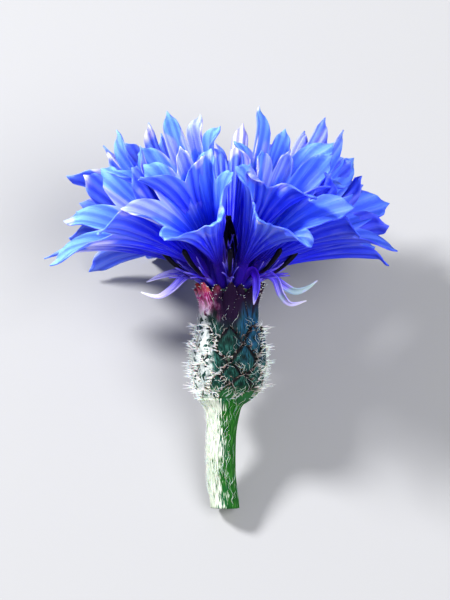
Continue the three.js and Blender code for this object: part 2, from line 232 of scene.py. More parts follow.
stem_skin, stem_place, stem_uv, wear_stem = finish("stem skin")
round_stem, up_stem, _ = stem_uv.parts()
fibres = stem_uv.noise(9, (9, 1.2, 1))
patches = stem_place.noise(260, (1, 1, 1))
furrow = (round_stem * (STEM_RIBS * 2 * math.pi)).cosine()
# Painted light: lit_side paints the stem's left side, towards the key light, white over the wool, with
# teal patches.
lit_side = (stem_place.parts()[0] * 1000 - STEM_MIDDLE).between(1.4, -1.4)
cobweb = (fibres - 0.5) * 2.6 + (patches - 0.5) * 0.9 - furrow * 0.06
wool_and_lit_side = (lit_side + cobweb).between(0.42, 0.72)
green = fibres.ramp(
    (0.3, (0.0, 0.04, 0.001)), (0.5, (0.001, 0.1, 0.002)), (0.68, (0.05, 0.24, 0.03))
)
teal = (patches.between(0.48, 0.6) * lit_side).blend(green, (0.012, 0.12, 0.09))
wool_and_lit_white = (fibres * 0.7 + patches * 0.3).ramp(
    (0.4, (0.3, 0.38, 0.26)), (0.56, (0.68, 0.72, 0.62))
)
pith = (up_stem + (patches - 0.5) * 0.012).ramp(
    (0.004, (0.5, 0.55, 0.34)),
    (0.018, (0.3, 0.42, 0.15)),
    (0.028, (0.1, 0.26, 0.05)),
    (0.036, (0.02, 0.13, 0.015)),
)
on_cut = up_stem.between(STEM_CAP + 0.004, STEM_CAP - 0.002)
wear_stem(
    Base_Color=on_cut.blend(wool_and_lit_side.blend(teal, wool_and_lit_white), pith),
    Roughness=0.7,
    Specular_IOR_Level=0.2,
    Subsurface_Weight=0.15,
    Subsurface_Radius=(0.6, 1.0, 0.4),
    Subsurface_Scale=0.0004,
    bump=(fibres, 0.0002),
)


def stem_place_at(u, v):
    """A point of the stem: out over the cut end, up the side and in over the top."""
    share = clamp((v - STEM_CAP) / (1 - 2 * STEM_CAP)) * STEM_REACH / STEM_LENGTH
    reach = clamp(v / STEM_CAP) * clamp((1 - v) / STEM_CAP)
    turn = u * 2 * math.pi
    neck = clamp((share - STEM_NECK_SHARE) / (1 - STEM_NECK_SHARE))
    inside = max(0, share - 1) * STEM_LENGTH
    radius = STEM_RADIUS + (STEM_NECK_RADIUS - STEM_RADIUS) * neck**2 + STEM_FLARE * inside
    radius += STEM_RIB_HEIGHT * (0.6 + 0.4 * math.cos(STEM_RIBS * turn))
    radius *= reach
    return Vector((
        along_row(STEM_BEND, share) + radius * math.cos(turn),
        radius * math.sin(turn),
        share * STEM_LENGTH,
    ))


stalk = open_mesh()
sheet(stalk, 96, 50, stem_place_at)
finished(stalk, "stalk", "stem", "stem", [stem_skin])

# ---------------------------------------------------------------- stem wool
# Fine cobwebby hairs that the stem grows, lying along its ribs and lifting off at their ends.
# They are a few hundredths of a millimetre thick, white and matt.

wool, _, _, wear_wool = finish("white wool")
wear_wool(
    Base_Color=(0.78, 0.82, 0.76), Roughness=0.85, Subsurface_Weight=0.3, Subsurface_Scale=0.0002
)

STEM_HAIRS = 320
HAIR_RADIUS = 0.018
HAIRS_SEED = 11

shake = random.Random(HAIRS_SEED)


def thread(mesh, centre, radius, sides, steps, side=Vector((0.3, 0.52, 0.8))):
    """Adds a thread along centre(share), as thick as radius(share), closed where that is 0."""

    def place(u, v):
        ahead = (centre(min(v + 0.01, 1)) - centre(max(v - 0.01, 0))).normalized()
        across = ahead.cross(side).normalized()
        turn = u * 2 * math.pi
        out = across * math.cos(turn) + ahead.cross(across) * math.sin(turn)
        return centre(v) + out * radius(v)

    return sheet(mesh, sides, steps, place)


def hair_radius(share):
    return HAIR_RADIUS * math.sqrt(clamp(4 * share * (1 - share)))


stem_hairs = open_mesh()
for _ in range(STEM_HAIRS):
    turn = math.radians(shake.gauss(190, 60))
    foot = shake.uniform(0.02, 0.9)
    length = shake.uniform(0.08, 0.2)
    lift = shake.uniform(0.05, 0.4)
    swirl = shake.uniform(-0.25, 0.25)
    phase = shake.uniform(0, 6.3)

    def strand(share):
        at = foot + length * share
        round_at = turn + swirl * share + 0.08 * math.sin(phase + 9 * share)
        up_skin = STEM_CAP + (1 - 2 * STEM_CAP) * clamp(at)
        skin = stem_place_at((round_at / (2 * math.pi)) % 1, up_skin)
        out = Vector((math.cos(round_at), math.sin(round_at), 0))
        return skin + out * (0.01 + lift * share * share)

    thread(stem_hairs, strand, hair_radius, 3, 5)
finished(stem_hairs, "stem_wool", "stem", "stem", [wool])

# ---------------------------------------------------------------- urn of the involucre
# The green body under the flower that the bracts grow on and the florets stand in. It is firm,
# fleshy and open at its mouth, and it is one growth with the stem.

URN_PROFILE = (
    # radius, height
    (2.1, 13.1),
    (3.1, 14.2),
    (4.1, 16.0),
    (4.4, 18.4),
    (4.25, 20.9),
    (3.4, 23.8),
    (3.35, 26.2),
    (3.95, 28.0),
)
URN_FLARE = 0.5
URN_LEAN_BELOW, URN_LEAN_SLOPE = 16, 0.24
URN_SHRINK = 0.985  # keeps its skin under the bracts' roots
MOUTH_RADIUS, MOUTH_FLOOR = 3.3, 26.9


def urn_radius(height):
    for (r0, z0), (r1, z1) in zip(URN_PROFILE, URN_PROFILE[1:]):
        if height <= z1:
            return r0 + (r1 - r0) * clamp((height - z0) / (z1 - z0))
    return URN_PROFILE[-1][0] + (height - URN_PROFILE[-1][1]) * URN_FLARE


def round_urn(turn, height, radius):
    """A point round the urn's own middle. The base of the urn leans over to the stem."""
    lean = URN_LEAN_SLOPE * max(0, URN_LEAN_BELOW - height)
    return Vector((radius * math.cos(turn) - lean, radius * math.sin(turn), height))


def on_urn(turn, height, lift=0.0):
    """A point that far over the urn's skin."""
    return round_urn(turn, height, urn_radius(height) + lift)


urn_skin, urn_place, _, wear_urn = finish("urn skin")
mottle = urn_place.noise(500, (1, 1, 1))
wear_urn(
    Base_Color=mottle.ramp((0.35, (0.006, 0.03, 0.016)), (0.65, (0.04, 0.12, 0.06))),
    Roughness=0.6,
)


def urn_at(u, v):
    """A point of the urn's wall: out under it, up its side, in over the rim and down its mouth."""
    walls = [
        (0, URN_PROFILE[0][1]),
        *URN_PROFILE,
        (MOUTH_RADIUS, URN_PROFILE[-1][1]),
        (MOUTH_RADIUS, MOUTH_FLOOR),
        (0, MOUTH_FLOOR),
    ]
    place = v * (len(walls) - 1)
    step = min(int(place), len(walls) - 2)
    (r0, z0), (r1, z1) = walls[step], walls[step + 1]
    share = place - step
    radius = (r0 + (r1 - r0) * share) * URN_SHRINK
    return round_urn(u * 2 * math.pi, z0 + (z1 - z0) * share, radius)


urn = open_mesh()
sheet(urn, 48, 33, urn_at)
finished(urn, "urn", "involucre", "bract", [urn_skin])

# ---------------------------------------------------------------- bracts
# Leathery scales in overlapping rows that wrap the urn, each grown from it at its root. They are
# dark green with near black edges, painted teal on the right as shade and painted white on the
# left as light. The long ones at the mouth are dark purple, painted near black as shade in the
# middle and on the right, and painted pink as light on the left.

BRACT_ROWS = (
    # height of the root, length, width, lift of the tip
    (13.3, 2.3, 1.9, 0.4),
    (14.4, 3.0, 2.4, 0.65),
    (15.4, 3.2, 2.6, 0.7),
    (17.1, 3.7, 2.9, 0.75),
    (19.4, 3.9, 2.7, 0.75),
    (21.2, 6.4, 2.3, 0.5),
    (22.6, 6.0, 2.2, 0.35),
    (22.9, 5.9, 2.1, 0.15),
)
BRACTS_PER_ROW = 8
BRACTS_SEED = 5
BRACT_THICKNESS = 0.22
BRACT_EDGE_DEPTH = 0.28
BRACT_ROOT_SUNK = 0.05
BRACT_PURPLE_FROM = 23.5  # height over the cut end
BRACT_WIDEST = 0.42  # share of its length


def bract_half(share):
    """Half a bract's width at a share of its length, as a share of its full width."""
    if share < BRACT_WIDEST:
        return 0.42 + 0.16 * math.sin(share / BRACT_WIDEST * math.pi / 2)
    past = (share - BRACT_WIDEST) / (1 - BRACT_WIDEST)
    return 0.58 * max(1 - past**1.7, 0) ** 0.9 + 0.01


def on_bract(row, turn, across, share):
    """A point of a bract's outer face. Across goes from -1 at one edge to 1 at the other."""
    root, length, width, lift = row
    height = root + length * share
    raised = (lift + BRACT_ROOT_SUNK) * math.sqrt(share) - BRACT_ROOT_SUNK
    raised -= BRACT_EDGE_DEPTH * across * across
    swing = across * bract_half(share) * width / urn_radius(root + length / 2)
    return on_urn(turn + swing, height, raised)


def bracts_round():
    """Each bract's own row, a little out of line, and the direction that it grows in."""
    nudge = random.Random(BRACTS_SEED)
    for level, (root, length, width, lift) in enumerate(BRACT_ROWS):
        for i in range(BRACTS_PER_ROW):
            turn = (i + level / 2) / BRACTS_PER_ROW * 2 * math.pi
            own = (
                root + nudge.uniform(-0.2, 0.2),
                length * nudge.uniform(0.93, 1.04),
                width * nudge.uniform(0.92, 1.08),
                lift + nudge.uniform(-0.14, 0.12),
            )
            yield own, turn + nudge.uniform(-0.07, 0.07)


def up_axis(place):
    """How far a place is up the flower's axis, in millimetres."""
    _, y, z = place.parts()
    return (y * math.cos(AXIS_RISE) + z * math.sin(AXIS_RISE)) * 1000


bract_skin, bract_place, bract_uv, wear_bract = finish("bract skin")
up_head = up_axis(bract_place)
across_bract, along_bract, _ = bract_uv.parts()
from_ridge = ((across_bract - 0.5) * 2).absolute()
blotch = bract_place.noise(700, (1, 1, 1), 4)
stripes = bract_uv.noise(6, (4, 0.7, 1))
leaf = (blotch * 0.45 + stripes * 0.65).ramp(
    (0.42, (0.001, 0.008, 0.008)), (0.55, (0.003, 0.03, 0.023)), (0.7, (0.03, 0.14, 0.115))
)
edged = (from_ridge * 0.55 + along_bract * 0.5 + blotch * 0.35).between(0.76, 0.94)
across_head = bract_place.parts()[0] * -1000 + cut_end.x
mouth_rim = (LAY_DOWN @ Vector((0, 0, BRACT_PURPLE_FROM))) * 1000
mouth_at = mouth_rim.y * math.cos(AXIS_RISE) + mouth_rim.z * math.sin(AXIS_RISE)
# Painted shade: the upper bracts on the right, away from the key light, are tinted teal.
shaded_right = up_head.between(mouth_at - 7, mouth_at) * across_head.between(-0.6, -2.2)
teal = (shaded_right * stripes.between(0.35, 0.65)).blend(leaf, (0.01, 0.08, 0.2))
dark_edge = edged.blend(teal, (0.004, 0.003, 0.005))
specks = bract_place.noise(1500, (1, 1, 1), 1).between(0.55, 0.62)
# Painted light: the bracts on the left, where the key light falls, are painted frosted white.
sunny = (across_head.between(0.2, 4.0) * 0.8 + blotch * 0.9 - specks * 0.45).between(0.84, 1.12)
at_base = (up_head - blotch * 2).between(mouth_at - 8.2, mouth_at - 10)
leafy = (at_base * 0.8).blend(dark_edge, (0.02, 0.13, 0.03))
sunlit_white = (blotch * 0.6 + stripes * 0.4).ramp((0.4, (0.34, 0.4, 0.4)), (0.56, (0.7, 0.74, 0.72)))
sunlit_left_white = sunny.blend(leafy, sunlit_white)
# Painted light and shade: the long mouth bracts are painted near black purple as shade in the middle,
# where it reaches lower, and on the right, and pink with rust as lit on the left.
shaded_middle = across_head.between(2.2, 0.6) * across_head.between(-2.0, -0.6)
purple = (up_head + (blotch + stripes - 1) * 3 + shaded_middle * 2.4).between(
    mouth_at + 0.6, mouth_at + 3.6
)
lit_pink = (stripes * 0.6 + blotch * 0.4).ramp(
    (0.43, (0.3, 0.001, 0.07)), (0.5, (0.7, 0.01, 0.26)), (0.57, (0.85, 0.5, 0.8))
)
rusty = (up_head + blotch * 2).between(mouth_at + 4.6, mouth_at + 5.6)
rust = (rusty * stripes.between(0.46, 0.54)).blend(lit_pink, (0.5, 0.09, 0.02))
lit_pink_and_shaded_purple = (across_head + (blotch - 0.5) * 3).between(1.0, 3.0).blend((0.012, 0.002, 0.022), rust)
wear_bract(
    Base_Color=purple.blend(sunlit_left_white, lit_pink_and_shaded_purple),
    Roughness=0.6,
    Specular_IOR_Level=0.1,
    bump=(stripes, 0.00015),
)

bracts = open_mesh()
for row, turn in bracts_round():
    sheet(bracts, 8, 9, lambda u, v: on_bract(row, turn, 2 * u - 1, v))
bracts = finished(bracts, "bracts", "involucre", "bract", [bract_skin])
wall = bracts.modifiers.new("thickness", "SOLIDIFY")
wall.thickness, wall.offset = BRACT_THICKNESS / 1000, -1

# ---------------------------------------------------------------- bract fringes
# The papery teeth along the upper edges of every bract. They are part of the bract, dry and
# silvery white, brown at their roots, and they stand out from the urn at all angles. They are
# longest on the lowest row, short at the mouth, and many in the middle are dark.

TEETH_PER_SIDE = 12
TOOTH_ROOT = 0.11
LOWEST_ROW, MOUTH_ROWS = 14, 20  # the first grows below the one, the last three above the other
LOWEST_REACH, MOUTH_REACH = 1.4, 0.45

tooth_skin, tooth_place, tooth_uv, wear_tooth = finish("silvery tooth")
tooth_share = tooth_uv.parts()[1]
tooth_side = tooth_place.parts()[0] * 1000 - cut_end.x
dull = (
    tooth_side.between(-2.4, 0.4)
    * tooth_side.between(4.6, 3.2)
    * tooth_place.noise(420, (1, 1, 1), 1).between(0.28, 0.42)
    * up_axis(tooth_place).between(mouth_at - 9.5, mouth_at - 8)
)
bright_tooth = tooth_share.ramp(
    (0.0, (0.12, 0.08, 0.06)), (0.14, (0.6, 0.6, 0.56)), (0.4, (0.92, 0.93, 0.9))
)
dull_tooth = tooth_share.ramp(
    (0.3, (0.006, 0.004, 0.004)), (0.6, (0.05, 0.035, 0.03)), (0.95, (0.4, 0.4, 0.38))
)
wear_tooth(
    Base_Color=dull.blend(bright_tooth, dull_tooth),
    Roughness=0.6,
    Subsurface_Weight=0.3,
    Subsurface_Scale=0.0003,
)

fringes = open_mesh()
for row, turn in bracts_round():
    for side_sign in (-1, 1):
        for i in range(TEETH_PER_SIDE):
            share = clamp(0.3 + 0.68 * (i + shake.uniform(-0.9, 0.9)) / (TEETH_PER_SIDE - 1), 0.2, 0.99)
            foot = on_bract(row, turn, side_sign * shake.uniform(0.82, 0.96), share)
            ahead = (on_bract(row, turn, side_sign * 0.94, min(share + 0.05, 1)) - foot).normalized()
            sideways = (foot - on_bract(row, turn, side_sign * 0.5, share)).normalized()
            out = Vector((math.cos(turn), math.sin(turn), 0))
            aim = (
                ahead * shake.uniform(-0.2, 0.8)
                + sideways * shake.uniform(0.1, 0.9)
                + out * (shake.uniform(0.0, 1.0) + 1.2 * share**3)
            ).normalized()
            reach = shake.uniform(0.4, 0.9) + 0.75 * share**3
            if row[0] < LOWEST_ROW:
                reach *= LOWEST_REACH
            elif row[0] > MOUTH_ROWS:
                reach *= MOUTH_REACH
            bow = out * shake.uniform(-0.15, 0.3) + sideways * shake.uniform(-0.2, 0.2)

            def tooth(share):
                sunk = out * 0.08 * (1 - share)
                return foot + aim * reach * share + bow * share * share * reach - sunk

            def tooth_radius(share):
                return TOOTH_ROOT * (1 - share) ** 0.8

            thread(fringes, tooth, tooth_radius, 3, 4)
finished(fringes, "bract_fringes", "involucre", "bract", [tooth_skin])

# ---------------------------------------------------------------- involucre wool
# The same cobwebby hairs as on the stem, caught between the bracts, thickest at the base.

URN_HAIRS = 300

urn_hairs = open_mesh()
for _ in range(URN_HAIRS):
    turn = shake.uniform(0, 2 * math.pi)
    low = shake.triangular(12.6, 27, 13.6)
    lift = shake.uniform(0.45, 0.95)
    length = shake.uniform(0.6, 2.4)
    swirl = shake.uniform(-0.4, 0.4)
    phase = shake.uniform(0, 6.3)

    def strand(share):
        wave = 0.12 * math.sin(phase + 8 * share)
        return on_urn(turn + swirl * share + wave * 0.3, low + length * share, lift + wave)

    thread(urn_hairs, strand, hair_radius, 3, 6)
finished(urn_hairs, "involucre_wool", "involucre", "bract", [wool])

# ---------------------------------------------------------------- ray florets
# Fourteen sterile trumpets that make the show: each a slender tube that opens into a slanting
# funnel of seven pointed lobes. They are soft, papery, under two tenths of a millimetre thick and
# vivid blue with fine veins, violet down in the throat and paler at the tips. Shade is painted
# deeper blue on the right and in the grooves of the pleats, and pale lilac patches of painted
# light lie on the lobes, strongest on the left.

PETAL_THICKNESS = 0.16
FLOOR_GAP, FLOOR_SOFTNESS = 0.16, 0.3  # of the lobes that lie on the surface
HEAD_CENTRE = 27.9  # height that the florets fan out from
FLORET_ROOT = (2.1, 27.3)  # out from the axis, and height
FLORET_KNEE = (3.0, 29.3)
TUBE_LENGTH = 5.6
TUBE_ROOT_RADIUS, TUBE_RADIUS = 0.55, 0.65
TUBE_SHARE = 0.2  # of the mesh's rows
LIMB_START = math.radians(12)  # between the limb and its own axis, at the throat
LIMB_END, LIP = 47, 28  # degrees at the tips, and more on the side away from the flower's axis
LIMB_NARROW = 0.86  # its width, as a share of its height
LOBES = 7
SINUS = 0.74  # share of the limb below the notches between its lobes
LOBE_LEAST, LOBE_SPREAD = 0.8624, 0.196  # of the tips, as shares of the limb
LOBE_SHOULDER = 2.6  # higher is broader
LOBE_POINT = 0.17  # the thorn-like end of a lobe, as a share of its free length
LOBE_FOLD, FOLD_START = 0.32, 7  # a ridge along each lobe, and where it reaches its full height
LOBE_PLEAT = 0.16
LOBE_CUP = 0.5
LOBE_RIPPLE = 0.09
LOBE_TWIST = 0.6
CURL_MOST, CURL_BIAS = 1.1, 0.35
HOOK_MOST, HOOK_BIAS = 1.7, 0.4
RAY_FLORETS = (
    # azimuth, angle from the axis, limb length, share of the full opening, turn about its own axis
    (8, 57, 17.4, 0.62, 12),
    (50, 46, 17.8, 0.8, 0),
    (90, 36, 17.8, 0.66, 25),
    (130, 52, 18.2, 0.9, 0),
    (172, 53, 18.2, 0.66, 20),
    (209, 51, 18.0, 0.68, 20),
    (251, 50, 18.4, 0.66, 22),
    (296, 50, 18.4, 0.66, -22),
    (336, 50, 18.2, 0.7, -12),
    (14, 37, 19.2, 0.62, 0),
    (88, 34, 16.8, 0.62, 15),
    (160, 38, 18.8, 0.62, 30),
    (232, 31, 18.4, 0.62, -10),
    (304, 34, 17.6, 0.62, 14),
)


def draw(floret, lobe, purpose):
    """A repeatable draw from 0 to 1 for each floret, lobe and purpose."""
    x = math.sin(floret * 12.9898 + lobe * 78.233 + purpose * 37.719) * 43758.5453
    return x - math.floor(x)


def settled(point):
    """A point of the upright flower, laid down and pressed on the surface where it meets it."""
    laid = LAID @ point
    depth = (laid.z - FLOOR_GAP) / FLOOR_SOFTNESS
    if depth < 20:
        laid.z = FLOOR_GAP + FLOOR_SOFTNESS * math.log1p(math.exp(depth))
    return laid


def leaning(azimuth, polar):
    """The directions out from the flower's axis, up a floret's own, towards its lip and across it."""
    out = Vector((math.cos(azimuth), math.sin(azimuth), 0))
    up = Vector((0, 0, 1))
    aim = out * math.sin(polar) + up * math.cos(polar)
    lip = out * math.cos(polar) - up * math.sin(polar)
    return out, aim, lip, aim.cross(lip)


def curve(points, share):
    """A point on the three-point curve that starts at the first and ends at the last of them."""
    a, b, c = points
    return a * (1 - share) ** 2 + b * 2 * share * (1 - share) + c * share**2


def on_ray_floret(number, u, v):
    """A point of a ray floret's wall: u goes round it and v from its root to its edge."""
    azimuth, polar, limb, opening, roll = RAY_FLORETS[number]
    azimuth, polar, roll = map(math.radians, (azimuth, polar, roll))
    out, aim, lip, side = leaning(azimuth, polar)
    throat = Vector((0, 0, HEAD_CENTRE)) + aim * TUBE_LENGTH
    round_at = u * 2 * math.pi + roll
    if v < TUBE_SHARE:
        share = v / TUBE_SHARE
        root = out * FLORET_ROOT[0] + Vector((0, 0, FLORET_ROOT[1]))
        knee = out * FLORET_KNEE[0] + Vector((0, 0, FLORET_KNEE[1]))
        _, _, lip, side = leaning(azimuth, polar * share * share * (3 - 2 * share))
        radius = TUBE_ROOT_RADIUS + (TUBE_RADIUS - TUBE_ROOT_RADIUS) * share * share
        radius *= clamp(share * 6)
        centre = curve((root, knee, throat), share)
        return settled(centre + (lip * math.cos(round_at) + side * math.sin(round_at)) * radius)

    share = (v - TUBE_SHARE) / (1 - TUBE_SHARE)
    turns = u * LOBES
    lobe = int(turns) % LOBES
    across = 2 * (turns - math.floor(turns)) - 1
    sinus = SINUS * limb
    tip = limb * (LOBE_LEAST + LOBE_SPREAD * draw(number, lobe, 1))
    outline = max(1 - abs(across) ** LOBE_SHOULDER, 0) ** 0.8
    outline += LOBE_POINT * math.exp(-((across / 0.12) ** 2))
    along = sinus * share + (tip - sinus) * outline * share**2.4
    free = clamp((along - sinus) / (tip - sinus))
    loose = clamp((share - 0.7) / 0.3)

    narrow = 0.1 + 0.12 * math.cos(round_at) + 0.14 * draw(number, lobe, 5)
    round_at -= across * (1 - across**8) * loose * math.pi / LOBES * narrow
    end = math.radians(opening * (LIMB_END + LIP * math.cos(round_at)))
    bend = (end - LIMB_START) / limb
    fold = LOBE_FOLD * math.cos(math.pi * across) * min(1, along / FOLD_START)
    pleat = LOBE_PLEAT * math.cos(4 * math.pi * across) * (1 - 0.6 * free)
    pleat *= min(1, along / FOLD_START)
    cup = -LOBE_CUP * (across * across - 0.3) * loose * (0.4 + draw(number, lobe, 4))
    curl = CURL_MOST * (draw(number, lobe, 2) - CURL_BIAS) * free**2
    hook = HOOK_MOST * (draw(number, lobe, 6) - HOOK_BIAS) * free**7
    ripple = LOBE_RIPPLE * math.sin(across * 7 + draw(number, lobe, 7) * 6) * abs(across)
    ripple *= loose * math.cos(share * 24)
    twist = LOBE_TWIST * (2 * draw(number, lobe, 3) - 1) * across * math.sqrt(loose)
    radius = TUBE_RADIUS + (math.cos(LIMB_START) - math.cos(LIMB_START + bend * along)) / bend
    radius += fold + pleat + cup + curl + hook + ripple
    height = (math.sin(LIMB_START + bend * along) - math.sin(LIMB_START)) / bend
    height += twist - abs(curl) / 2 - abs(hook) / 2
    return settled(
        throat
        + aim * height
        + lip * radius * math.cos(round_at)
        + side * radius * math.sin(round_at) * LIMB_NARROW
    )


def petal_finish(name, throat, middle, tip, vein, lit_patch_strength):
    """A petal's blue from its throat to its tips, with veins, painted shade on the right and in its
    grooves, and pale lilac patches of painted light, as strong as its last argument.
    """
    material, place, uv, wear = finish(name)
    round_floret, up_floret, _ = uv.parts()
    in_lobe = round_floret.math("FRACT", round_floret * LOBES)
    from_middle = ((in_lobe - 0.5) * 2).absolute()
    streaks = uv.noise(5, (30, 1.0, 1), 4)
    cloud = place.noise(160, (1, 1, 1))
    patch = place.noise(210, (1, 1, 1), 0) * 0.6 + uv.noise(3, (6, 0.5, 1), 0) * 0.4
    between = tuple(0.4 * a + 0.6 * b for a, b in zip(throat, middle))
    throat_to_tip = (up_floret + (cloud - 0.5) * 0.2).ramp(
        (0.2, throat), (0.42, between), (0.6, middle), (0.96, tip)
    )
    # Painted light: pale lilac patches near the tips stand for faces of the lobes that the light falls
    # on, strongest on the left towards the key light.
    pale = patch.between(0.56, 0.62) * (up_floret + cloud * 0.4).between(0.8, 1.1)
    # Painted light and shade: the left side, towards the key light, shows the full throat-to-tip ramp,
    # and the right and lower right are painted flatter and deeper blue as shade.
    sideways, along_floor, _ = place.parts()
    sunward = sideways.between(0.013, 0.002)
    shaded_low_right = sideways.between(0.003, 0.014) * along_floor.between(0.017, 0.006)
    shaded = (sunward * 0.3 + 0.7 - shaded_low_right * 0.4).blend(middle, throat_to_tip)
    painted_light_patches = pale * (sunward * 0.7 + 0.3 - shaded_low_right * 0.25) * lit_patch_strength
    with_light_patches = painted_light_patches.blend(shaded, (0.62, 0.6, 1.0))
    pleats = (from_middle * (4 * math.pi)).cosine()
    rim = (from_middle * 12 - 11).between(0, 1) * up_floret.between(0.6, 0.9)
    # Painted shade: the grooves between the pleats are painted a darker blue.
    groove_shade = (pleats * -0.5 + 0.4).between(0, 1) * up_floret.between(0.25, 0.5) * 0.55
    with_groove_shade = groove_shade.blend(with_light_patches, tuple(0.6 * a for a in middle))
    lines = (pleats * 0.3 + (streaks - 0.5) * 3.2 + rim).between(0.1, 0.9)
    veined = lines * up_floret.between(0.3, 0.6) * (1 - shaded_low_right * 0.5) * 0.65
    wear(
        Base_Color=veined.blend(with_groove_shade, vein),
        Roughness=0.6,
        Specular_IOR_Level=0.16,
        Subsurface_Weight=0.5,
        Subsurface_Radius=(0.3, 0.4, 1.0),
        Subsurface_Scale=0.0006,
        bump=(streaks + pleats * 0.4, 0.00015),
    )
    return material


petal_inside = petal_finish(
    "petal inside",
    throat=(0.02, 0.004, 0.62),
    middle=(0.03, 0.08, 1.0),
    tip=(0.17, 0.38, 1.0),
    vein=(0.24, 0.34, 1.0),
    lit_patch_strength=0.6,
)
petal_outside = petal_finish(
    "petal outside",
    throat=(0.03, 0.003, 0.42),
    middle=(0.014, 0.022, 0.95),
    tip=(0.13, 0.24, 1.0),
    vein=(0.2, 0.22, 1.0),
    lit_patch_strength=0.9,
)

for number in range(len(RAY_FLORETS)):
    floret = open_mesh()
    sheet(floret, 16 * LOBES, 34, lambda u, v: on_ray_floret(number, u, v))
    name = f"ray_floret_{number + 1}"
    sides = [petal_outside, petal_inside]
    floret = finished(floret, name, "ray_florets", "ray_floret", sides, TO_METRES)
    upwards = on_ray_floret(number, 0, 0.1) - on_ray_floret(number, 0, 0)
    if floret.data.polygons[0].normal.dot(upwards) > 0:
        floret.data.flip_normals()
    wall = floret.modifiers.new("thickness", "SOLIDIFY")
    wall.thickness, wall.offset = PETAL_THICKNESS / 1000, 0
    wall.material_offset = 1

# ---------------------------------------------------------------- stray lobes
# Five narrow lobes of stunted ray florets that hang out under the head: two on each side and one
# over the front of the mouth. They are the same petal stuff, rolled lengthwise, blue at the root
# and lilac at the end, and greenish on the right.

STRAY_LOBES = (
    # across, towards the back and up from the cut end
    (
        (-2.2, 0, 28.2),
        (-4, -0.6, 30.1),
        (-5.6, -0.9, 29.6),
        (-7.4, -1.1, 27.9),
        (-9.1, -1.3, 27),
        (-11.2, -1.2, 27.6),
    ),
    (
        (-2.2, 0.4, 28.2),
        (-4.2, 0.6, 30.5),
        (-6.4, 0.8, 30.2),
        (-8.6, 1, 29.7),
        (-10.6, 1.2, 28.9),
    ),
    (
        (2.2, 0, 28.2),
        (4.2, -0.6, 30),
        (5.9, -0.9, 29.3),
        (6.7, -1.2, 27.3),
        (7.9, -1.4, 26.1),
        (9.9, -1.3, 26.5),
    ),
    (
        (2.2, 0.4, 28.2),
        (4.4, 0.6, 30.3),
        (6.3, 0.9, 29),
        (8.3, 1.2, 27.8),
        (9.9, 1.4, 28.1),
        (11.4, 1.5, 29.1),
    ),
    (
        (1.3, -1.8, 28.2),
        (2.7, -3.6, 30.4),
        (3.4, -4.9, 29.6),
        (3.5, -5, 28.2),
        (3.3, -4.8, 27),
        (3.1, -4.7, 26),
    ),
)
STRAY_WIDTH = 0.54

strays = open_mesh()
for points in STRAY_LOBES:
    line = [Vector(p) for p in points]

    def on_stray(u, v):
        ahead = along_row(line, min(v + 0.02, 1)) - along_row(line, max(v - 0.02, 0))
        ahead.normalize()
        across = Vector((0, -1, 0)).cross(ahead).normalized()
        flat = ahead.cross(across)
        swell = 0.35 + 0.65 * math.sin(math.pi * clamp(v * 0.92)) ** 0.8
        half = STRAY_WIDTH * swell * (1 - v**6)
        swing = 2 * u - 1
        roll = 0.15 + 0.7 * v
        wide = across * math.cos(roll) + flat * math.sin(roll)
        deep = flat * math.cos(roll) - across * math.sin(roll)
        hollow = half * 0.5 * (swing * swing - 0.4)
        return along_row(line, v) + wide * half * swing + deep * hollow

    sheet(strays, 6, 24, on_stray)
stray_petal, stray_place, stray_uv, wear_stray = finish("stray petal")
stray_up = stray_uv.parts()[1]
stray_streak = stray_uv.noise(4, (3, 0.8, 1))
stray_x = stray_place.parts()[0] * 1000 - cut_end.x
hanging = stray_x.between(2.0, 2.6) * stray_x.between(5.0, 4.2)
stray_blue = (stray_up + (stray_streak - 0.5) * 0.8 - hanging * 0.28).ramp(
    (0.15, (0.05, 0.005, 0.5)),
    (0.42, (0.12, 0.08, 0.9)),
    (0.66, (0.5, 0.45, 0.92)),
    (1.0, (0.7, 0.67, 0.92)),
)
greenish = stray_place.noise(300, (1, 1, 1), 1).between(0.5, 0.6) * stray_x.between(5, 7)
wear_stray(
    Base_Color=(greenish * 0.7).blend(stray_blue, (0.3, 0.5, 0.4)),
    Roughness=0.55,
    Specular_IOR_Level=0.25,
    Subsurface_Weight=0.4,
    Subsurface_Radius=(0.5, 0.5, 1.0),
    Subsurface_Scale=0.0004,
)
strays = finished(strays, "stray_lobes", "ray_florets", "ray_floret", [stray_petal])
wall = strays.modifiers.new("thickness", "SOLIDIFY")
wall.thickness, wall.offset = PETAL_THICKNESS / 1000, 0

# ---------------------------------------------------------------- disc florets
# The fertile florets: nine between the tubes of the outer ring and six in the middle. Each is a
# slim violet tube with five thread-like lilac lobes at its mouth.

MARGIN_FLORETS = 9
MARGIN_POLAR = math.radians(70)  # from the flower's axis
MARGIN_FOOT = 5.2  # of the anther column, from the head's centre
MARGIN_KNEE = (1.0, 1.6)  # out and up from the root
CENTRE_FLORETS = 6
CENTRE_DISC = ((0.45, 27.5), (0.75, 30), (0.88, 32.3))  # root, knee and mouth: out, and height
CENTRE_STAGGER = 1.2  # every second one is this much shorter
DISC_TUBE_RADIUS = 0.34
DISC_LOBES = 5
DISC_LOBE_FOOT = (0.3, -1.0)  # out from the mouth's middle, and along from the mouth
DISC_LOBE_TIP = (1.5, 2.7)
DISC_LOBE_WIDTH = 0.17
DISC_PETAL_THICKNESS = 0.09


